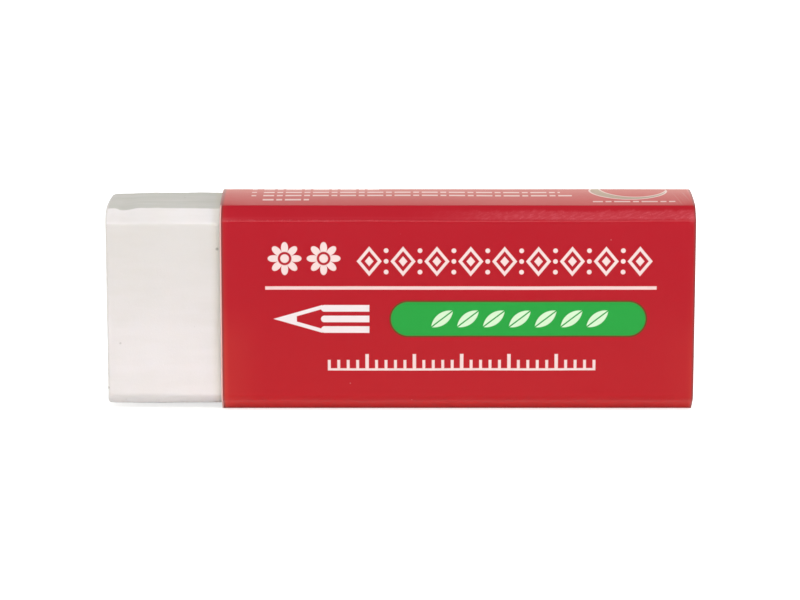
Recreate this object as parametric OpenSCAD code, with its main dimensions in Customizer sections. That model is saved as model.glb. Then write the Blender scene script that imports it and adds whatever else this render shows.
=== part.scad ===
// A bevelled block of white eraser rubber in a folded card sleeve.
// The pair stands on its long narrow side. X runs along the length, with the
// bare working end at -X. The sleeve's printed broad side faces -Y, and Z is up.
// The origin is under the middle of the whole, on the surface it stands on.

/* [Block] */
// Length of the rubber block, over its crowned ends
block_l = 62; // [52:0.1:90]
// Height of the block, across its broad sides
block_h = 21.45; // [14:0.05:32]
// Thickness of the block, across its narrow sides
block_t = 11.5; // [8:0.1:20]
// Height that the bevel takes off each long edge
bevel_h = 1.4; // [0.8:0.05:2.5]
// Thickness that the bevel takes off each long edge
bevel_t = 1.85; // [0.8:0.05:2.5]
// Radius that softens the bevels' creases
crease_r = 0.5; // [0.2:0.05:0.8]
// How far the middle of a cut end stands out
end_crown = 0.3; // [0.1:0.05:0.6]
// Radius at the upright edges of a cut end
end_r = 0.4; // [0.2:0.05:0.8]

/* [Sleeve] */
// Length of the sleeve
sleeve_l = 50; // [20:0.5:60]
// Thickness of the card
card = 0.2; // [0.15:0.01:0.4]
// Clearance between the block and the card on the flat sides
fit_gap = 0.05; // [0.03:0.01:0.15]
// Clearance between the block and the card over the bevels
bevel_gap = 0.2; // [0.05:0.01:0.4]
// How far the sleeve reaches past the block's covered end
overhang = 0.3; // [0:0.1:3]

/* [Glued seam] */
// Thickness of the dry glue between the flap and the lower panel
glue = 0.02; // [0.01:0.01:0.1]
// Strip of the lower panel that the glued flap leaves bare
flap_bare = 2.7; // [0.5:0.1:3]
// How much shorter the flap is at each end of the sleeve
flap_trim = 0.6; // [0.2:0.1:3]
// How much further the flap is cut back along its free edge
flap_slant = 1.2; // [0:0.1:4]
// Distance from the lower panel's cut edge to the fold beside it
seam_step = 0.25; // [0.1:0.05:1]

/* [Hidden] */

rubber_white = [0.93, 0.91, 0.88];
sleeve_red = [0.74, 0.15, 0.2];
// Straight steps that stand for one arc
arc_steps = 8;

half_t = block_t / 2;
half_h = block_h / 2;
// The sleeve stands on its lower panel, with the glued flap between it and the block
axis_z = half_h + fit_gap + 2 * card + glue;
total_l = block_l + overhang;
block_x = -total_l / 2;
sleeve_x = total_l / 2 - sleeve_l;

// Slope length of a bevel, and the constant of the straight line it lies on
bevel_slope = norm([bevel_t, bevel_h]);
bevel_line = bevel_h * half_t + bevel_t * (half_h - bevel_h);

// Distance from the middle plane to the bevel moved out by gap, at a given height or thickness
function bevel_y(z, gap) = (bevel_line + gap * bevel_slope - bevel_t * z) / bevel_h;
function bevel_z(y, gap) = (bevel_line + gap * bevel_slope - bevel_h * y) / bevel_t;

// The block's eight-sided section, anticlockwise from the lower front, with its flats and
// its bevels moved out
function section(flat_gap, gap) =
    let (y = half_t + flat_gap, z = half_h + flat_gap, yb = bevel_y(z, gap), zb = bevel_z(y, gap))
    [[-y, -zb], [-yb, -z], [yb, -z], [y, -zb], [y, zb], [yb, z], [-yb, z], [-y, zb]];

// Unit normal on the right hand of the way from a to b
function right_of(a, b) = [b.y - a.y, a.x - b.x] / norm(b - a);

// Anticlockwise arc about centre, from where normal a leaves it to where normal b does
function arc(centre, r, a, b) =
    let (start = atan2(a.y, a.x), turn = acos(a * b))
    [for (s = [0 : arc_steps]) let (t = start + turn * s / arc_steps) centre + r * [cos(t), sin(t)]];

// Convex outline through the centres of its round corners
module soft_outline(centres, r) {
    n = len(centres);
    normals = [for (i = [0 : n - 1]) right_of(centres[i], centres[(i + 1) % n])];
    polygon([for (i = [0 : n - 1]) each arc(centres[i], r, normals[(i + n - 1) % n], normals[i])]);
}

// Stands a section up across the length: its X becomes the thickness and its Y the height
module along_length(x, length) {
    translate([x, 0, axis_z])
        rotate([90, 0, 90])
            linear_extrude(length) children();
}

// Plan of the block: each cut end is one crowned arc that runs into round upright edges
module block_plan() {
    crown_r = (pow(half_t, 2) + pow(end_crown, 2)) / (2 * end_crown);
    crown_x = block_l / 2 - crown_r;
    corner_y = half_t - end_r;
    corner_x = crown_x + sqrt(pow(crown_r - end_r, 2) - pow(corner_y, 2));
    // Normals where the crown meets the round edges
    up = [corner_x - crown_x, corner_y] / (crown_r - end_r);
    down = [up.x, -up.y];
    crown = arc([crown_x, 0], crown_r, down, up);
    cut_end = [
        each arc([corner_x, -corner_y], end_r, [0, -1], down),
        for (i = [1 : arc_steps - 1]) crown[i],
        each arc([corner_x, corner_y], end_r, up, [0, 1])
    ];
    polygon([each cut_end, for (p = cut_end) -p]);
}

module eraser_block() {
    color(rubber_white)
        intersection() {
            along_length(block_x, block_l) soft_outline(section(-crease_r, -crease_r), crease_r);
            translate([block_x + block_l / 2, 0, 0]) linear_extrude(2 * axis_z) block_plan();
        }
}

// Card seen on edge, from the corners of its inside taken anticlockwise: the outside of
// each fold is round and the card keeps its thickness
module folded_card(inside) {
    last = len(inside) - 1;
    normals = [for (i = [1 : last]) right_of(inside[i - 1], inside[i])];
    polygon([
        for (i = [last : -1 : 0]) inside[i],
        inside[0] + card * normals[0],
        for (i = [1 : last - 1]) each arc(inside[i], card, normals[i - 1], normals[i]),
        inside[last] + card * normals[last - 1]
    ]);
}

module card_sleeve() {
    folds = section(fit_gap, bevel_gap);
    flap_fold = folds[2];
    panel_z = flap_fold.y - card - glue;
    panel_fold = [-bevel_y(-panel_z, bevel_gap), panel_z];
    seam_y = flap_fold.x - seam_step;
    flap_edge = panel_fold.x + flap_bare;
    color(sleeve_red) {
        along_length(sleeve_x, sleeve_l)
            folded_card([
                [seam_y, flap_fold.y],
                for (i = [2 : 7]) folds[i],
                folds[0],
                panel_fold,
                [seam_y, panel_z]
            ]);
        // The flap and its glue, on the inside of the lower panel
        translate([sleeve_x, 0, axis_z + panel_z])
            linear_extrude(card + glue)
                polygon([
                    [flap_trim, seam_y],
                    [flap_trim + flap_slant, flap_edge],
                    [sleeve_l - flap_trim - flap_slant, flap_edge],
                    [sleeve_l - flap_trim, seam_y]
                ]);
    }
}

eraser_block();
card_sleeve();
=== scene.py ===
import math

import bpy
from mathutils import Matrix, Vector, noise


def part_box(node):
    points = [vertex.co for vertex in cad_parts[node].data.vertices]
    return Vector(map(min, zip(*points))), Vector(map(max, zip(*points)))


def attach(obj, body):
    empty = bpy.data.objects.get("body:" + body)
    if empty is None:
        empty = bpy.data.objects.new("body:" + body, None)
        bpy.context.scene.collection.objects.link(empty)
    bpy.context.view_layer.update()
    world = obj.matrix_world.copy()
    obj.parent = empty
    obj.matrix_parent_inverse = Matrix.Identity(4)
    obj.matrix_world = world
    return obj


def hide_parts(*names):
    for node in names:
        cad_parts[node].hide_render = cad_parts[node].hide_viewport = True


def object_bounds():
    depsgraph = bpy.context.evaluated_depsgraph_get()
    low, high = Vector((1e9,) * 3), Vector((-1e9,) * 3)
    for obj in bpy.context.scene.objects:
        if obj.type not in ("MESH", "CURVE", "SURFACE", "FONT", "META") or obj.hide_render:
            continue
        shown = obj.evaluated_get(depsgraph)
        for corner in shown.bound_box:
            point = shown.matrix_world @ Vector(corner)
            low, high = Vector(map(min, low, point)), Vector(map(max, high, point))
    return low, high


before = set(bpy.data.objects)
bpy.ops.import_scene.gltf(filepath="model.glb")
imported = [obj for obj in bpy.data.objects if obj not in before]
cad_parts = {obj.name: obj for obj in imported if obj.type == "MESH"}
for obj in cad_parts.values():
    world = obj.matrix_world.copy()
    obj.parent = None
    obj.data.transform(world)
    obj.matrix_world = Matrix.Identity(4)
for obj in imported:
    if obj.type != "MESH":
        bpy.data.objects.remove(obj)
cad_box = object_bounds()


# ---- Eraser block ----
# One block of white, PVC-free eraser rubber. It is moulded as a bar with eight long sides and then
# cut to length, so its creases are soft and its cut ends stand out a little in the middle. Nothing
# but friction holds it in the sleeve.

mm = 0.001
block_low, block_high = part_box("eraser_block")
axis_z = (block_low.z + block_high.z) / 2
half_depth = (block_high.y - block_low.y) / 2
half_height = (block_high.z - block_low.z) / 2
bevel_depth = 1.85 * mm
bevel_height = 1.4 * mm

# The creases' radii, the share that they drift by, and the length that they drift over.
broad_crease = 0.5 * mm
narrow_crease = 0.28 * mm
least_crease = 0.04 * mm
crease_drift = 0.5
crease_drift_length = 2.2 * mm

# How far the narrow sides are worn down, in waves and ripples of these lengths, and how much more
# that is at each of their corners next to a cut end.
worn_down = 0.13 * mm
wave_length = 4.5 * mm
ripple_length = 0.9 * mm
lower_front, lower_back, upper_back, upper_front = 1, 2, 5, 6
corner_wear = {lower_front: 0.7, lower_back: 1.5, upper_back: 0.7, upper_front: 0.4}
corner_reach = 1.3 * mm

# A nick in the upper front crease: its place, the lengths of its steep and its long side, its depth.
nick_place = block_low.x + 1.85 * mm
nick_steep, nick_long, nick_depth = 0.7 * mm, 2.2 * mm, 0.22 * mm

# Hollows in the faces: how deep they are and how far across.
broad_hollow, broad_hollow_size = 0.035 * mm, 5.3 * mm
small_hollow, small_hollow_size = 0.014 * mm, 0.9 * mm

# Each cut end: its crown, its rounded rim, its fine and its coarse knife marks, how far its upper
# edge is rubbed back, how far down that reaches, and the share that is added to it at the back.
end_crown = 0.3 * mm
rim_radius = 0.3 * mm
knife_mark = 0.02 * mm
knife_slant = 0.15
fine_mark_width = 0.5 * mm
coarse_mark, coarse_mark_width = 0.6, 1.9 * mm
rubbed_back = 0.29 * mm
rubbed_reach = 1.6 * mm
rubbed_skew = 0.43

# Painted highlight: the bevels are given a lighter colour than the broad sides.
rubber_lit_bevel = (0.90, 0.86, 0.85, 1)
# Painted shade: the broad sides go from this lighter colour low down to the next, darker one high up.
rubber_lit_low = (0.88, 0.83, 0.82, 1)
rubber_shaded_high = (0.80, 0.765, 0.735, 1)
# Painted shade: the narrow sides are given a greyer colour.
rubber_shaded_narrow = (0.70, 0.69, 0.63, 1)
rubber_cut = (0.83, 0.80, 0.77, 1)
rubber_smear = (0.72, 0.68, 0.62, 1)
# Dirt, with painted shadow, for the band beside the sleeve's edge.
rubber_dirt_and_shadow = (0.70, 0.63, 0.50, 1)
rubber_speck = (0.22, 0.20, 0.16, 1)
# Where dirt and a painted shadow lie beside the sleeve's edge, and two dark spots, in millimetres.
dirt_and_shadow_line = block_low.x / mm + 12.15
dirt_spots = [(-30.85, -5.55, 2.7), (-19.15, -5.75, 17.8)]


def section(flat_gap, bevel_gap):
    """The block's eight corners, anticlockwise in Y and Z from the lower front, with its flats and
    its bevels moved out."""
    slope = math.hypot(bevel_depth, bevel_height)
    line = bevel_height * half_depth + bevel_depth * (half_height - bevel_height) + bevel_gap * slope
    y, z = half_depth + flat_gap, half_height + flat_gap
    y_in, z_in = (line - bevel_depth * z) / bevel_height, (line - bevel_height * y) / bevel_depth
    outline = [(-y, -z_in), (-y_in, -z), (y_in, -z), (y, -z_in)]
    return [Vector(c) for c in outline] + [-Vector(c) for c in outline]


def soft_path(corners, radii, pieces, arc_steps, closed):
    """(point, outward normal, side, share along it) for straight sides with an arc in place of each
    corner. Each side has a point close to either end, so that the arcs don't shade the flats."""
    hug_length = 0.08 * mm
    count = len(corners)
    sides = count if closed else count - 1
    ways = [(corners[(i + 1) % count] - corners[i]).normalized() for i in range(sides)]

    def turn_at(corner):
        if not closed and corner in (0, count - 1):
            return 0.0
        return ways[corner - 1].angle(ways[corner])

    path = []
    for side, way in enumerate(ways):
        after = (side + 1) % count
        start = corners[side] + way * radii[side] * math.tan(turn_at(side) / 2)
        end = corners[after] - way * radii[after] * math.tan(turn_at(after) / 2)
        out = Vector((way.y, -way.x))
        hug = min(hug_length / (end - start).length, 0.2)
        shares = [0, hug] + [k / pieces[side] for k in range(1, pieces[side])] + [1 - hug, 1]
        path += [(start.lerp(end, share), out, side, share) for share in shares]
        if turn_at(after) > 0:
            centre = end - out * radii[after]
            lean = math.atan2(out.y, out.x)
            for k in range(1, arc_steps):
                angle = lean + turn_at(after) * k / arc_steps
                normal = Vector((math.cos(angle), math.sin(angle)))
                path.append((centre + normal * radii[after], normal, side, 1))
    return path


def wander(seed, place, length):
    """A smooth number from -1 to 1 that drifts over the given length."""
    return noise.noise(Vector((place / length, 7.31 * seed, 1.7)))


def hollow(place, size, seed=0):
    """A smooth number from 0 to 1 that drifts over the given size in every direction."""
    return 0.5 + 0.5 * noise.noise(place / size + Vector((seed, 0, 0)))


def standing(x, point):
    """A point of the section, stood up at x."""
    return Vector((x, point.x, point.y + axis_z))


def block_ring(x, inset=0.0):
    """The block's section at x, worn a little below its moulded faces and wavy along its creases. Its
    narrow sides are rubbed lower next to the cut ends, and its upper front crease has the nick."""
    radii = [broad_crease, narrow_crease, narrow_crease, broad_crease] * 2
    for i, radius in enumerate(radii):
        drifted = radius * (1 + crease_drift * wander(i, x, crease_drift_length))
        radii[i] = max(drifted - inset, least_crease)
    corners = section(-inset, -inset)
    from_end = min(x - block_low.x, block_high.x - x) - end_crown
    near_end = max(0, 1 - from_end / corner_reach) ** 2
    for i, more in corner_wear.items():
        waves, ripples = wander(10 + i, x, wave_length), wander(30 + i, x, ripple_length)
        wear = max(0, 0.7 + 0.9 * waves + 0.3 * ripples)
        corners[i].y *= 1 - worn_down * (wear + more * near_end) / half_height
    from_nick = min(1, max((nick_place - x) / nick_steep, (x - nick_place) / nick_long))
    corners[upper_front].y -= nick_depth * (1 - from_nick**2) ** 2
    ring = []
    outline = soft_path(corners, radii, pieces=[4, 10, 4, 22] * 2, arc_steps=6, closed=True)
    for point, normal, _, _ in outline:
        place = Vector((x, point.x, point.y))
        sunk = broad_hollow * hollow(place, broad_hollow_size)
        sunk += small_hollow * hollow(place, small_hollow_size, 40)
        ring.append(point - normal * sunk)
    return ring


def cut_end(x_edge, outward):
    """Rings from a rounded rim to the middle of a cut end, which bulges across the thickness and has
    faint knife marks that fade out at the rim."""

    def crowned(x, point):
        crown = end_crown * max(0, 1 - (point.x / half_depth) ** 2)
        upper = max(0, 1 - (half_height - point.y) / rubbed_reach) ** 2
        crown -= rubbed_back * upper * (1 + rubbed_skew * point.x / half_depth)
        return standing(x + outward * crown, point)

    rings = []
    x_rim = x_edge - outward * rim_radius
    rim_steps = 6
    for step in range(rim_steps + 1):
        angle = math.radians(90) * step / rim_steps
        edge = block_ring(x_rim, rim_radius * (1 - math.cos(angle)))
        rings.append([crowned(x_rim + outward * rim_radius * math.sin(angle), at) for at in edge])
    cap_steps = 16
    for step in range(1, cap_steps):
        scale = 1 - step / cap_steps
        ring = []
        for point in edge:
            at = point * scale
            marks = wander(3, at.y + knife_slant * at.x, fine_mark_width)
            marks += coarse_mark * wander(4, at.y, coarse_mark_width)
            sunk = knife_mark * (1 + coarse_mark - marks) * min(1, 5 * (1 - scale))
            ring.append(crowned(x_edge - outward * sunk, at))
        rings.append(ring)
    middle = x_edge - outward * 1.5 * knife_mark
    rings.append([crowned(middle, Vector((0, 0)))])
    return rings


def block_mesh():
    """The block from end to end, as rings that one skin joins."""
    left, right = block_low.x + end_crown, block_high.x - end_crown
    stations = 240
    straight_end = rim_radius + 2 * rubbed_back
    straight = right - left - 2 * straight_end
    rings = cut_end(left, -1)[::-1]
    for k in range(stations + 1):
        x = left + straight_end + straight * k / stations
        rings.append([standing(x, point) for point in block_ring(x)])
    rings += cut_end(right, 1)
    points, faces, starts = [], [], []
    for ring in rings:
        starts.append(len(points))
        points += ring
    for a, b, ring, following in zip(starts, starts[1:], rings, rings[1:]):
        if len(ring) == 1:
            faces += [(a, b + (i + 1) % len(following), b + i) for i in range(len(following))]
        elif len(following) == 1:
            faces += [(b, a + i, a + (i + 1) % len(ring)) for i in range(len(ring))]
        else:
            size = len(ring)
            faces += [(a + i, a + (i + 1) % size, b + (i + 1) % size, b + i) for i in range(size)]
    return points, faces


def new_piece(name, points, faces, materials, face_materials=None):
    """A smooth mesh piece from points and faces."""
    mesh = bpy.data.meshes.new(name)
    mesh.from_pydata(points, [], faces)
    for material in materials:
        mesh.materials.append(material)
    if face_materials:
        mesh.polygons.foreach_set("material_index", face_materials)
    mesh.polygons.foreach_set("use_smooth", [True] * len(faces))
    mesh.update()
    piece = bpy.data.objects.new(name, mesh)
    bpy.context.scene.collection.objects.link(piece)
    return piece


class Flow:
    """What comes out of a node. Python's operators on it add Math nodes, where & gives the higher of
    two values and | the lower. An outline is a signed distance, negative inside, so & keeps what two
    outlines share and | joins them."""

    def __init__(self, finish, socket):
        self.finish, self.socket = finish, socket

    def maths(self, operation, *terms):
        return self.finish.node("ShaderNodeMath", {"operation": operation}, terms)

    def __add__(self, other):
        return self.maths("ADD", self, other)

    def __sub__(self, other):
        return self.maths("SUBTRACT", self, other)

    def __rsub__(self, other):
        return self.maths("SUBTRACT", other, self)

    def __mul__(self, other):
        return self.maths("MULTIPLY", self, other)

    def __truediv__(self, other):
        return self.maths("DIVIDE", self, other)

    def __mod__(self, other):
        return self.maths("FLOORED_MODULO", self, other)

    def __pow__(self, other):
        return self.maths("POWER", self, other)

    def __abs__(self):
        return self.maths("ABSOLUTE", self)

    def __neg__(self):
        return self * -1

    def __and__(self, other):
        return self.maths("MAXIMUM", self, other)

    def __or__(self, other):
        return self.maths("MINIMUM", self, other)

    __radd__, __rmul__ = __add__, __mul__

    def other(self, output):
        """Another output of the same node."""
        return Flow(self.finish, self.socket.node.outputs[output])


class Finish:
    """The nodes of a material, or of the room."""

    def __init__(self, owner):
        self.owner = owner
        owner.use_nodes = True
        self.tree = owner.node_tree
        self.tree.nodes.clear()

    def node(self, kind, settings=None, inputs=(), output=0):
        """Adds a node, sets its settings, then fills its sockets by place or by name."""
        made = self.tree.nodes.new(kind)
        for setting, value in (settings or {}).items():
            setattr(made, setting, value)
        usable = [s for s in made.inputs if s.enabled]
        for place, value in inputs.items() if isinstance(inputs, dict) else enumerate(inputs):
            socket = usable[place] if isinstance(place, int) else made.inputs[place]
            if isinstance(value, Flow):
                self.tree.links.new(value.socket, socket)
            else:
                socket.default_value = value
        shown = [s for s in made.outputs if s.enabled]
        return Flow(self, shown[output] if isinstance(output, int) else made.outputs[output])

    def place(self):
        """The place in the object's own frame, in millimetres."""
        metres = self.node("ShaderNodeTexCoord", output="Object")
        return self.node("ShaderNodeVectorMath", {"operation": "SCALE"}, {0: metres, "Scale": 1 / mm})

    def split(self, vector, axis):
        """One axis of a vector."""
        return self.node("ShaderNodeSeparateXYZ", inputs=[vector], output=axis)

    def joined(self, *axes):
        """A vector from two or three values."""
        return self.node("ShaderNodeCombineXYZ", inputs=axes)

    def stretched(self, place, factors):
        """The place with each axis scaled by its own factor."""
        return self.node("ShaderNodeVectorMath", {"operation": "MULTIPLY"}, [place, factors])

    def away(self, place, point):
        """How far the place is from a point."""
        return self.node("ShaderNodeVectorMath", {"operation": "DISTANCE"}, [place, point], "Value")

    def grain(self, place, scale, detail, rough=0.5):
        """Noise from 0 to 1 whose lumps are about 1 / scale across."""
        sockets = {"Vector": place, "Scale": scale, "Detail": detail, "Roughness": rough}
        return self.node("ShaderNodeTexNoise", inputs=sockets)

    def dots(self, place, scale, core, edge, strength=1.0):
        """Scattered dots about 1 / scale apart, full within the core and gone at the edge, both as
        shares of that distance."""
        nearest = self.node("ShaderNodeTexVoronoi", inputs={"Vector": place, "Scale": scale})
        return self.ramp(nearest, core, edge, strength, 0.0)

    def ramp(self, value, low, high, at_low=0.0, at_high=1.0):
        """A soft step of the value from low to high."""
        sockets = [value, low, high, at_low, at_high]
        return self.node("ShaderNodeMapRange", {"interpolation_type": "SMOOTHSTEP"}, sockets)

    def blend(self, mask, below, above):
        """One colour over another, where the mask is 1."""
        return self.node("ShaderNodeMix", {"data_type": "RGBA"}, [mask, below, above])

    def bump(self, height, depth, strength):
        """Relief whose height of 1 stands for the depth."""
        sockets = {"Height": height, "Distance": depth, "Strength": strength}
        return self.node("ShaderNodeBump", inputs=sockets)

    def close(self, surface, output="ShaderNodeOutputMaterial"):
        """Ends the tree with its surface, and gives what it belongs to."""
        self.tree.links.new(surface.socket, self.tree.nodes.new(output).inputs["Surface"])
        return self.owner


def rubber_finish():
    """Matt off-white rubber. Its bevels are painted lighter as a painted highlight, its broad sides
    painted darker towards the top as painted shade, its narrow sides painted greyer as painted
    shade, and its cut ends darker. Dirt and a painted shadow lie beside the sleeve's edge. It has a
    few dark specks."""
    finish = Finish(bpy.data.materials.new("eraser_rubber"))
    place = finish.place()
    facing = finish.node("ShaderNodeTexCoord", output="Normal")
    along, upright = abs(finish.split(facing, "X")), abs(finish.split(facing, "Z"))
    broad = finish.ramp(upright, 0.25, 0.72, 1.0, 0.0)
    narrow = finish.ramp(upright, 0.86, 0.96)
    cut = finish.ramp(along, 0.3, 0.95)

    clouds = finish.grain(place, 0.16, 3.0)
    smears = finish.grain(finish.stretched(place, (0.16, 1.0, 0.8)), 0.9, 4.0, 0.6)
    # Painted shade that darkens the broad sides towards the top.
    shaded_upward = finish.ramp(finish.split(place, "Z"), 3.0, 20.0)
    # Painted highlight on the bevels, and painted shade on the broad sides that grows upwards.
    colour = finish.blend(broad, rubber_lit_bevel, finish.blend(shaded_upward, rubber_lit_low, rubber_shaded_high))
    # Painted shade on the narrow sides, broken up a little by the smears.
    colour = finish.blend(narrow * finish.ramp(smears, 0.3, 0.7, 1.0, 0.68), colour, rubber_shaded_narrow)
    colour = finish.blend(cut * finish.ramp(smears, 0.3, 0.7, 1.0, 0.8), colour, rubber_cut)
    smeared = finish.ramp(clouds * 0.5 + smears * 0.5, 0.40, 0.66)
    colour = finish.blend(smeared * 0.22, colour, rubber_smear)
    # Dirt and a painted shadow beside the sleeve's left edge.
    dirt_and_shadow_by_card = finish.ramp(abs(finish.split(place, "X") - dirt_and_shadow_line), 0.1, 1.0, 0.3, 0.0)
    colour = finish.blend(dirt_and_shadow_by_card, colour, rubber_dirt_and_shadow)

    sparse = finish.ramp(finish.grain(place, 0.7, 1.0), 0.54, 0.60)
    specks = finish.dots(place, 0.55, 0.04, 0.09, 0.28) * sparse
    for spot in dirt_spots:
        specks = specks & finish.ramp(finish.away(place, spot), 0.06, 0.24, 0.6, 0.0)
    colour = finish.blend(specks, colour, rubber_speck)

    relief = finish.grain(place, 6.0, 4.0, 0.6) - finish.dots(place, 2.3, 0.04, 0.2) * 0.5
    surface = finish.node(
        "ShaderNodeBsdfPrincipled",
        inputs={
            "Base Color": colour,
            "Roughness": finish.ramp(clouds, 0.3, 0.7, 0.55, 0.68),
            "Specular IOR Level": 0.12,
            "Subsurface Weight": 0.12,
            "Subsurface Radius": (1.0, 0.8, 0.6),
            "Subsurface Scale": 0.6 * mm,
            "Normal": finish.bump(relief, 0.02 * mm, 0.6),
        },
    )
    return finish.close(surface)


block = new_piece("moulded_block", *block_mesh(), [rubber_finish()])
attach(block, "block")
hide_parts("eraser_block")


# ---- Card sleeve ----
# One die-cut sheet of white card with a glossy red print on its outside. It is creased eight times
# and folded round the block, and a narrow flap is glued inside its lower panel. The print is laid
# out on the flat sheet, so its places are distances along the sleeve and round it.

sleeve_low, sleeve_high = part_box("card_sleeve")
sleeve_length = sleeve_high.x - sleeve_low.x
card = 0.2 * mm
glue = 0.02 * mm
fit_gap = 0.05 * mm
bevel_gap = 0.2 * mm
seam_step = 0.25 * mm
flap_bare = 2.7 * mm
flap_trim = 0.6 * mm
flap_slant = 1.2 * mm
cut_rounding = 0.03 * mm

# The folds' inside radii, and how far the folds wander off their lines.
fold_radius = 0.14 * mm
soft_fold_radius = 0.9 * mm
fold_wander = 0.045 * mm
fold_wander_length = 8 * mm

# For each panel from the flap round to the lower one: how many pieces it has across, and how far
# its middle bows out.
panels = [(6, 0), (3, 0), (20, 0.05 * mm), (4, 0.02 * mm), (14, 0.17 * mm)]
panels += [(5, 0.02 * mm), (22, 0.05 * mm), (3, 0), (9, 0)]
flap, back_panel, top_panel, front_panel = 0, 2, 4, 6
bow_drift = 0.6
bow_drift_length = 13 * mm
end_lift = 0.07 * mm
end_lift_reach = 1.5 * mm

print_red = (0.480, 0.0030, 0.0140, 1)
print_white = (0.95, 0.755, 0.73, 1)
thin_white = (0.96, 0.68, 0.655, 1)
pencil_white = (0.94, 0.855, 0.855, 1)
print_green = (0.020, 0.39, 0.055, 1)
print_outline = (0.15, 0.05, 0.01, 1)
leaf_white = (0.74, 0.95, 0.68, 1)
muted_green = (0.42, 0.40, 0.26, 1)
# Scuffs and random tone, and a painted highlight above the upper folds.
scuffed_and_lit_red = (0.72, 0.13, 0.16, 1)
# Print rubbed paler near the ends, and painted light low on the sheet.
pale_worn_and_lit_red = (1.0, 0.19, 0.10, 1)
# Painted reflection: the glare on the top panel.
painted_glare_red = (1.0, 0.02, 0.005, 1)
# Painted light on the lower bevel and the panel under it.
lit_lower_red = (0.68, 0.010, 0.016, 1)
rim_white = (1.0, 0.62, 0.58, 1)
# Painted shade at the sleeve's cut edges.
shaded_edge_brown = (0.20, 0.05, 0.045, 1)
board_white = (0.80, 0.77, 0.71, 1)
board_shade = (0.68, 0.64, 0.57, 1)


def sleeve_corners(x=None):
    """Inside corners of the folded card, from the flap's free edge round to the lower panel's cut
    edge. At a given x the folds wander a little, as on card that was folded by machine."""
    folds = section(fit_gap, bevel_gap)
    panel_z = folds[1].y - card - glue
    slope = (folds[1] - folds[0]).normalized()
    panel_fold = folds[1] + slope * (panel_z - folds[1].y) / slope.y
    seam = Vector((folds[2].x - seam_step, panel_z))
    flap_edge = Vector((panel_fold.x + flap_bare, folds[2].y))
    corners = [flap_edge] + folds[2:] + [folds[0], panel_fold, seam]
    for i, corner in enumerate(corners[2:-2] if x is not None else []):
        off_line = fold_wander * wander(20 + i, x, fold_wander_length)
        if abs(corner.x) > half_depth:
            corner.y += off_line
        else:
            corner.x += off_line
    return corners


def sleeve_section(x=None):
    """The folded card on edge: (inside point, outward normal, panel, share across it). The lower
    folds of the back and of the front are softer than the rest."""
    corners = sleeve_corners(x)
    radii = [fold_radius] * len(corners)
    radii[back_panel] = radii[front_panel + 1] = soft_fold_radius
    return soft_path(corners, radii, [pieces for pieces, _ in panels], arc_steps=7, closed=False)


def unfolded():
    """How high each point of the section lies on the flat sheet, from the middle of the printed
    front. It is measured along the middle of the card."""
    flat = sleeve_section()
    travel = [0.0]
    for (a, a_out, _, _), (b, b_out, _, _) in zip(flat, flat[1:]):
        travel.append(travel[-1] + (b + b_out * card / 2 - a - a_out * card / 2).length)
    first = [panel for _, _, panel, _ in flat].index(front_panel)
    front_middle = travel[first] + flat[first][0].y
    return [front_middle - place for place in travel]


def sheet_faces(stations, size):
    """The skin over a sheet with so many points on each side at every station, and which of its faces
    are bare board: all but the outside."""
    faces, bare = [], []

    def skin(a, b, c, d, is_bare=1):
        faces.append((a, b, c, d))
        bare.append(is_bare)

    end = size - 1
    for k in range(stations - 1):
        outer, following = 2 * size * k, 2 * size * (k + 1)
        inner, inner_following = outer + size, following + size
        for i in range(end):
            skin(outer + i, outer + i + 1, following + i + 1, following + i, is_bare=0)
            skin(inner + i + 1, inner + i, inner_following + i, inner_following + i + 1)
        skin(inner, outer, following, inner_following)
        skin(outer + end, inner + end, inner_following + end, following + end)
    last = 2 * size * (stations - 1)
    for i in range(end):
        skin(i + 1, i, size + i, size + i + 1)
        skin(last + i, last + i + 1, last + size + i + 1, last + size + i)
    return faces, bare


def sleeve_mesh():
    """The folded sheet: points, faces, which faces are bare board, and where each point lies on the
    flat sheet, in millimetres from the middle of the printed front."""
    heights = unfolded()
    middle = (sleeve_low.x + sleeve_high.x) / 2
    lip = cut_rounding / sleeve_length
    steps = 110
    stations = [0, lip] + [k / steps for k in range(1, steps)] + [1 - lip, 1]
    points, sheet = [], []
    for station in stations:
        x = sleeve_low.x + sleeve_length * station
        from_end = sleeve_length * min(station, 1 - station)
        row = sleeve_section(x)
        for outside in (True, False):
            for height, (point, normal, panel, share) in zip(heights, row):
                trim = flap_trim + flap_slant * (1 - share) if panel == flap and share < 1 else 0
                at = x + trim * (1 - 2 * station)
                arch = 4 * share * (1 - share)
                bow = panels[panel][1] * arch * (1 + bow_drift * wander(50 + panel, x, bow_drift_length))
                if panels[panel][1] > 0:
                    bow += end_lift * arch**0.5 * math.exp(-from_end / end_lift_reach)
                rise = card * outside - cut_rounding * (outside and station in (0, 1))
                points.append(standing(at, point + normal * (rise + bow)))
                sheet.append(((at - middle) / mm, height / mm))
    faces, bare = sheet_faces(len(stations), len(heights))
    return points, faces, bare, sheet


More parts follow.
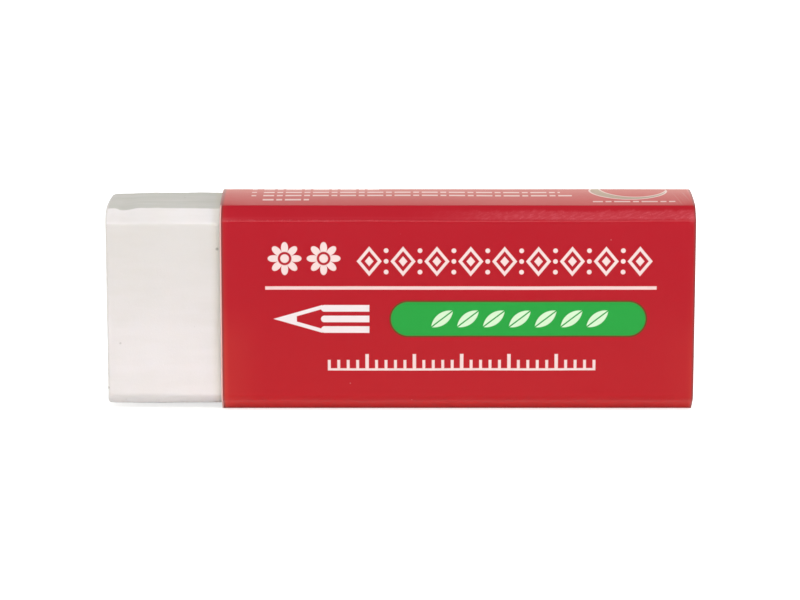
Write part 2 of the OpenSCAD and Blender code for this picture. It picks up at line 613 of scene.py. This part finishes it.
class Print:
    """The outlines of the printed shapes. u runs along the sheet and v up it, in millimetres from
    the middle of the printed front. Each outline is a signed distance."""

    def __init__(self, finish, u, v):
        self.finish, self.u, self.v = finish, u, v

    def moved(self, u, v):
        """The same sheet, measured from another point."""
        return Print(self.finish, self.u - u, self.v - v)

    def turned(self, degrees):
        """The same sheet, turned about its zero point."""
        cosine, sine = math.cos(math.radians(degrees)), math.sin(math.radians(degrees))
        return Print(self.finish, self.u * cosine + self.v * sine, self.v * cosine - self.u * sine)

    def doubled(self, apart):
        """The same sheet twice over, each measured from a point this far to one side of the zero."""
        return Print(self.finish, abs(self.u) - apart, self.v)

    def repeated(self, pitch):
        """The same sheet, starting again at each multiple of the pitch along u."""
        return Print(self.finish, (self.u + pitch / 2) % pitch - pitch / 2, self.v)

    def repeated_up(self, pitch):
        """The same sheet, starting again at each multiple of the pitch along v."""
        return Print(self.finish, self.u, (self.v + pitch / 2) % pitch - pitch / 2)

    def bar(self, width, height):
        return (abs(self.u) - width / 2) & (abs(self.v) - height / 2)

    def oval(self, width, height):
        """Near its line, the distance from an oval."""
        across, up = self.u / (width / 2), self.v / (height / 2)
        return ((across * across + up * up) ** 0.5 - 1) * (min(width, height) / 2)

    def capsule(self, width, height):
        beyond = (abs(self.u) - (width - height) / 2) & 0.0
        return (beyond * beyond + self.v * self.v) ** 0.5 - height / 2

    def leaf(self, length, width, rib):
        """Two arcs that meet in points, with the leaf's rib left out along the middle."""
        radius = (length**2 / width + width) / 4
        beside = abs(self.v) + (radius - width / 2)
        return ((self.u * self.u + beside * beside) ** 0.5 - radius) & (rib / 2 - abs(self.v))

    def lozenge(self, width, height):
        """Near its line, about the distance from a lozenge."""
        return (abs(self.u) / width + abs(self.v) / height - 0.5) * (min(width, height) * 0.8)

    def rosette(self, size):
        """Eight round petals about an eye, with their measures as shares of the size."""
        angle = self.u.maths("ARCTAN2", self.v, self.u)
        reach = (self.u * self.u + self.v * self.v) ** 0.5
        petals = abs(self.u.maths("COSINE", angle * 4)) ** 0.7
        eye = abs(reach - 0.16 * size) - 0.035 * size
        return ((reach - petals * (0.28 * size) - 0.2 * size) & -eye) * 0.7


def lozenges(sheet, count, pitch, height):
    """A row of open lozenges, each with a small one in it, and three dots between two of them."""
    line, dot = 0.33, 0.5
    cell = sheet.moved(pitch / 2 * (1 - count % 2), 0).repeated(pitch)
    outline = cell.lozenge(pitch * 0.74, height)
    open_lozenge = outline & (-line - outline)
    between = Print(cell.finish, pitch / 2 - abs(cell.u), abs(cell.v))
    dots = between.oval(dot, dot) | between.moved(0, height * 0.36).oval(dot, dot)
    row = sheet.bar(pitch * (count - 0.2), height * 2)
    return (open_lozenge | cell.lozenge(pitch * 0.26, height * 0.34) | dots) & row


def ruler(sheet, length, height):
    """A scale of millimetres: a base line, short marks, and a tall mark at each fifth."""
    base_line, short_line, tall_line = 0.24, 0.3, 0.36
    short_height = height * 0.64
    low = -height / 2
    short = sheet.repeated(1.0).moved(0, low + short_height / 2).bar(short_line, short_height)
    tall = sheet.repeated(5.0).bar(tall_line, height)
    base = sheet.moved(0, low + base_line / 2).bar(length, base_line)
    return (short | tall | base) & sheet.bar(length + short_line, height)


def pencil(sheet):
    """A pencil that points to -u: its lead, the edges of its sharpened cone, and three stripes."""
    tip, shoulder, lead, wall = -5.0, 0.15, 2.45, 1.45
    pitch, stripe, length, cut_off = 1.15, 0.72, 5.1, 0.8
    slope = (pitch + stripe / 2) / (shoulder - tip)
    cone = (abs(sheet.v) - (sheet.u - tip) * slope) & (sheet.u - shoulder)
    hollow_cone = (abs(sheet.v) - (sheet.u - tip - wall) * slope) & (tip + lead - sheet.u)
    whole = length + cut_off
    low, middle, high = (sheet.moved(whole / 2, pitch * k).capsule(whole, stripe) for k in (-1, 0, 1))
    return (cone & -hollow_cone) | ((low | middle | high) & (sheet.u - length))


def dashes(sheet, left, right, level, height=0.62):
    """One row of small dashes of two lengths."""
    pitch, long_dash, short_dash = 2.9, 1.7, 0.62
    row = sheet.moved(0, level)
    long_ones = row.repeated(pitch).bar(long_dash, height)
    short_ones = row.moved(pitch / 2, 0).repeated(pitch).bar(short_dash, height)
    return (long_ones | short_ones) & row.moved((left + right) / 2, 0).bar(right - left, height)


def front_white(face):
    """The white shapes of the front: two rosettes and a row of lozenges above, a scale below."""
    rosettes = face.moved(-16.15, 5.65).doubled(apart=2.05).rosette(size=3.7)
    row = lozenges(face.moved(4.93, 5.35), count=9, pitch=3.56, height=3.2)
    return rosettes | row | ruler(face.moved(0.45, -5.6), length=28.0, height=1.8)


def leaves(face):
    """Seven leaves in a row, each leaning to the right."""
    row = face.moved(6.56, -0.87)
    return row.repeated(2.73).turned(38).leaf(length=2.9, width=1.25, rib=0.14) & row.bar(19.0, 3.0)


def crescent(top):
    """A crescent that opens upwards: one oval less another."""
    return top.moved(18.3, 2.9).oval(8.2, 9.0) & -top.moved(18.9, 4.4).oval(7.2, 9.8)


def top_white(top):
    """The small white marks of the top panel: rows of dashes of unequal lengths, three bullets before
    them, a line round the crescent and a short row under it."""
    margin = -20.6
    rows = dashes(top, margin, -8.3, 3.8) | dashes(top, margin, 11.0, 1.97)
    rows = rows | dashes(top, margin, 12.2, 0.19) | dashes(top, margin, -15.7, -1.78)
    column = top.moved(margin - 1.0, 2.0)
    bullets = column.repeated_up(1.87).bar(0.5, 0.5) & column.bar(2, 5)
    line = abs(crescent(top)) - 0.1
    return rows | bullets | line | dashes(top, 14.3, 23.0, -2.55, height=0.45)


def worn_bevel(finish, flat, face, u, above):
    """How far the bevel over the printed front is rubbed, and the strokes that it was rubbed with. A
    thin light line runs along its lower fold, with a faint painted highlight just above it. A band
    of slanting strokes and fine dots grows towards the right end, and the corner there is rubbed all
    over. above is the height over that fold."""
    all_over, by_strokes, by_grit, at_corner = 0.19, 0.22, 0.20, 0.2
    slant = Print(finish, face.u, above).turned(24)
    strokes = finish.grain(finish.joined(slant.u * 1.3, slant.v * 4.2), 1.0, 5.0, 0.65)
    strokes = finish.ramp(strokes, 0.46, 0.62)
    patchy = finish.grain(finish.joined(face.u, 0.0), 0.55, 3.0, 0.6)
    drift = finish.grain(finish.joined(face.u, 3.0), 0.8, 4.0, 0.7) - 0.5
    flecks = finish.ramp(finish.grain(finish.joined(face.u, 7.0), 2.2, 3.0, 0.7), 0.45, 0.6, 0.1, 1.0)

    line = finish.ramp(abs(above - 0.14 - drift * 0.6), 0.02, 0.12, 1.0, 0.0) * flecks
    line = line * finish.ramp(face.u, -22.0, -2.0, 0.22, 0.05) * finish.ramp(patchy, 0.35, 0.6, 0.3, 1.0)
    # Painted highlight: a faint lighter band just above the fold, where the fold rounds.
    line = line + finish.ramp(abs(above - 0.35), 0.05, 0.35, 0.04, 0.0)

    band = finish.ramp(above - drift * 0.5, 0.1, 0.4) * finish.ramp(above - drift, 1.1, 1.7, 1.0, 0.0)
    band = band * finish.ramp(face.u + patchy * 8.0, -2.0, 14.0)
    grit = finish.dots(flat, 2.1, 0.1, 0.26)
    scuffs = band * (strokes * by_strokes + all_over) + band * grit * by_grit
    corner = finish.ramp(abs(above - 0.5), 0.3, 0.9, at_corner, 0.0) * finish.ramp(u, 24.1, 24.7)
    return line + scuffs + corner, strokes


def worn_ends(finish, colour, face, u, on_top):
    """The colour rubbed paler beside the sleeve's two ends, painted darker at the edge itself as a
    painted shade, and bared to a light line along the left one. All of it is stronger at the left."""
    from_edge = sleeve_length / 2 / mm - abs(u)
    frayed = finish.ramp(from_edge, 0.2, 0.9, 1.0, 0.0) * finish.ramp(face.v, -9.0, 9.0, 0.15, 0.05)
    paler = finish.ramp(from_edge, -0.5, 5.0, 0.07, 0.0) * finish.ramp(face.v, -4.0, 1.0, 1.0, 0.0)
    colour = finish.blend((frayed + paler) * finish.ramp(u, -20.0, 20.0, 1.0, 0.4), colour, pale_worn_and_lit_red)
    # Painted shade at the rounded cut edges themselves.
    nearest, furthest = finish.ramp(u, -20.0, 20.0, 0.15, 0.04), finish.ramp(u, -20.0, 20.0, 0.5, 0.32)
    colour = finish.blend(finish.ramp(from_edge, nearest, furthest, 0.74, 0.0), colour, shaded_edge_brown)
    from_left = u + sleeve_length / 2 / mm
    bared = finish.ramp(from_left, 0.09, 0.18, 0.95, 0.0) * (1 - on_top * 0.85)
    return finish.blend(bared, colour, rim_white)


def print_finish():
    """Glossy red print on the card's outside, rubbed lighter along its creases and cut edges, with
    painted light and shade: a painted glare on the top panel, lighter upper and lower bevels and
    lower parts, and shaded cut edges. The back repeats the front's print, upright and not mirrored."""
    finish = Finish(bpy.data.materials.new("printed_card"))
    place = finish.place()
    flat = finish.node("ShaderNodeUVMap", {"uv_map": "sheet"})
    u, v = finish.split(flat, "X"), finish.split(flat, "Y")
    corners = sleeve_corners()
    sides = [(b - a).length / mm for a, b in zip(corners, corners[1:])]
    fold_v = sides[front_panel] / 2
    top_v = fold_v + sides[front_panel - 1] + sides[top_panel] / 2
    flip = finish.ramp(v, top_v - 0.1, top_v + 0.1, 1.0, -1.0)
    face = Print(finish, u * flip, top_v - abs(v - top_v))
    top = Print(finish, u, v - top_v)
    above = face.v - fold_v
    on_top = finish.ramp(abs(top.v), sides[top_panel] / 2 - 0.5, sides[top_panel] / 2 + 0.1, 1.0, 0.0)

    # The red, with a random tone, and painted light: lighter above the upper folds, towards the lower
    # edge and on the lower bevel, with a painted glare on the top panel.
    tone = finish.grain(place, 0.09, 2.0)
    # Random tone, and a painted highlight that lightens everything above the front's and the back's
    # upper folds.
    colour = finish.blend(tone * 0.03 + finish.ramp(above, 0.0, 0.5, 0.0, 0.05), print_red, scuffed_and_lit_red)
    # Painted light: the sheet grows a little lighter towards its lower edge.
    colour = finish.blend(finish.ramp(v, -9.5, 9.5, 0.04, 0.0), colour, pale_worn_and_lit_red)
    # Painted reflection: a glare over the top panel.
    painted_glare = on_top * (tone * 0.06 + finish.ramp(u, -20.0, 20.0, 0.15, 0.20))
    colour = finish.blend(painted_glare, colour, painted_glare_red)
    # Painted light: the lower bevel and the panel under it are made lighter.
    colour = finish.blend(finish.ramp(-fold_v - face.v, -0.8, 1.2), colour, lit_lower_red)

    def ink(outline, soft=0.035):
        return finish.ramp(outline, -soft, soft, 1.0, 0.0)

    # The printed shapes.
    rule = face.moved(0.345, 2.475).bar(width=41.2, height=0.36)
    field = face.moved(6.4, -0.875).capsule(width=27.2, height=4.0)
    field_line = 0.18
    colour = finish.blend(ink(crescent(top)) * 0.75, colour, muted_green)
    colour = finish.blend(ink(front_white(face)) & ink(top_white(top)) * 0.8, colour, print_white)
    colour = finish.blend(ink(rule), colour, thin_white)
    colour = finish.blend(ink(pencil(face.moved(-14.4, -0.88))), colour, pencil_white)
    colour = finish.blend(ink(field, 0.05), colour, print_outline)
    colour = finish.blend(ink(field + field_line, 0.07), colour, print_green)
    colour = finish.blend(ink(leaves(face)), colour, leaf_white)

    # Wear, pale lines of painted light where the card ripples near the upper right corner, and a little
    # dust.
    worn, strokes = worn_bevel(finish, flat, face, u, above)
    colour = finish.blend(worn, colour, scuffed_and_lit_red)
    # Painted light: pale lines where ripples in the card catch the light.
    ripples = finish.grain(finish.joined(u * 2.0 + v * 0.25, 0.0), 1.0, 2.0)
    ripples = finish.ramp(ripples, 0.5, 0.62) * finish.ramp(abs(top.v + 1.0), 1.8, 3.2, 1.0, 0.0)
    ripples = ripples * finish.ramp(abs(u - 23.7), 0.4, 1.0, 0.22, 0.0)
    colour = finish.blend(ripples, colour, board_shade)
    colour = worn_ends(finish, colour, face, u, on_top)
    colour = finish.blend(finish.dots(place, 0.27, 0.012, 0.03, 0.12), colour, print_white)

    coat = finish.grain(place, 1.3, 3.0)
    surface = finish.node(
        "ShaderNodeBsdfPrincipled",
        inputs={
            "Base Color": colour,
            "Roughness": 0.28 + worn * 0.3 + coat * 0.06,
            "Specular IOR Level": 0.22,
            "Sheen Weight": 0.2,
            "Sheen Roughness": 0.3,
            "Sheen Tint": (1.0, 0.75, 0.45, 1),
            "Normal": finish.bump(coat + worn * strokes * 2.0, 0.006 * mm, 0.5),
        },
    )
    return finish.close(surface)


def board_finish():
    """The sheet's bare inside and its cut edges: uncoated white board with short fibres."""
    finish = Finish(bpy.data.materials.new("bare_board"))
    fibres = finish.grain(finish.stretched(finish.place(), (1.0, 3.0, 3.0)), 1.8, 5.0, 0.65)
    surface = finish.node(
        "ShaderNodeBsdfPrincipled",
        inputs={
            "Base Color": finish.blend(finish.ramp(fibres, 0.4, 0.7), board_white, board_shade),
            "Roughness": 0.85,
            "Specular IOR Level": 0.2,
            "Normal": finish.bump(fibres, 0.01 * mm, 0.6),
        },
    )
    return finish.close(surface)


points, faces, bare, sheet = sleeve_mesh()
sleeve = new_piece("folded_sleeve", points, faces, [print_finish(), board_finish()], bare)
sheet_map = sleeve.data.uv_layers.new(name="sheet")
for loop, spot in zip(sleeve.data.loops, sheet_map.data):
    spot.uv = sheet[loop.vertex_index]
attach(sleeve, "sleeve")
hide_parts("card_sleeve")


# ---- Table and light ----
# A plain pale table that runs out to a white room. A large soft lamp stands above the front, with a
# wide low one at the right, a weaker low one at the left, and one behind that is nearly as bright as
# the first.

object_middle = (cad_box[0] + cad_box[1]) / 2
table_reach = 6.0
ambient = 0.08


def table_finish():
    """Matt and white, and white to the eye and in a gloss far out, where the lamps don't reach."""
    finish = Finish(bpy.data.materials.new("pale_table"))
    out = finish.node("ShaderNodeVectorMath", {"operation": "LENGTH"}, [finish.place()], "Value")
    seen = finish.node("ShaderNodeLightPath", output="Is Camera Ray")
    mirrored = seen.other("Is Glossy Ray") & seen.other("Is Transmission Ray")
    to_eye = seen * finish.ramp(out, 60.0, 300.0, 0.68, 1.0)
    in_gloss = mirrored * finish.ramp(out, 30.0, 300.0, 0.05, 1.0)
    matt = finish.node("ShaderNodeBsdfDiffuse", inputs={"Color": (0.93, 0.93, 0.93, 1)})
    glow = finish.node("ShaderNodeEmission", inputs={"Strength": to_eye & in_gloss})
    return finish.close(finish.node("ShaderNodeAddShader", inputs=[matt, glow]))


table_corners = [(-table_reach, -table_reach, 0), (table_reach, -table_reach, 0)]
table_corners += [(table_reach, table_reach, 0), (-table_reach, table_reach, 0)]
table = new_piece("table", table_corners, [(0, 1, 2, 3)], [table_finish()])


def room_finish():
    """White to the eye all round. To a gloss it is white low down and darker overhead."""
    finish = Finish(bpy.data.worlds.new("white_room"))
    height = finish.split(finish.node("ShaderNodeTexCoord", output="Generated"), "Z")
    seen = finish.node("ShaderNodeLightPath", output="Is Camera Ray")
    clear = seen & seen.other("Is Transmission Ray")
    mirrored = seen.other("Is Glossy Ray") * finish.ramp(height, 0.2, 0.75, 1.0, 0.28)
    strength = clear & mirrored & ambient
    sky = finish.node("ShaderNodeBackground", inputs={"Color": (1, 1, 1, 1), "Strength": strength})
    return finish.close(sky, "ShaderNodeOutputWorld")


bpy.context.scene.world = room_finish()


def lamp(name, azimuth, elevation, distance, size, level, mirrored=False):
    """A soft lamp of the size (width, height) aimed at the object, which lights white that faces it
    to the level. Only a mirrored one shows in a gloss."""
    light = bpy.data.lights.new(name, "AREA")
    light.shape = "RECTANGLE"
    light.size, light.size_y = size
    light.energy = level * math.pi**2 * distance**2
    turn, lift = math.radians(azimuth), math.radians(elevation)
    way = Vector((math.sin(turn) * math.cos(lift), -math.cos(turn) * math.cos(lift), math.sin(lift)))
    holder = bpy.data.objects.new(name, light)
    holder.location = object_middle + way * distance
    holder.rotation_euler = way.to_track_quat("Z", "Y").to_euler()
    holder.visible_glossy = mirrored
    bpy.context.scene.collection.objects.link(holder)


lamp("front_lamp", azimuth=0, elevation=56, distance=0.9, size=(0.9, 0.5), level=0.77, mirrored=True)
lamp("right_lamp", azimuth=66, elevation=10, distance=0.8, size=(0.8, 0.3), level=0.52)
lamp("left_lamp", azimuth=-80, elevation=8, distance=0.8, size=(0.6, 0.22), level=0.30)
lamp("back_lamp", azimuth=180, elevation=8, distance=0.8, size=(0.8, 0.22), level=0.70)


# ---- Camera ----
# It looks square on to the printed front from a little above, with a long lens, so that the object's
# edges stay nearly parallel.

view_elevation = math.radians(13.5)
view_distance = 0.4
aim_offset = Vector((0.08 * mm, 0, -0.17 * mm))
camera_data = bpy.data.cameras.new("camera")
camera_data.sensor_width = 36
camera_data.lens = 168.2
camera_data.clip_start = 0.01
camera = bpy.data.objects.new("camera", camera_data)
back = Vector((0, -math.cos(view_elevation), math.sin(view_elevation)))
camera.location = object_middle + aim_offset + back * view_distance
camera.rotation_euler = back.to_track_quat("Z", "Y").to_euler()
bpy.context.scene.collection.objects.link(camera)
bpy.context.scene.camera = camera
bpy.context.scene.view_settings.view_transform = "Standard"
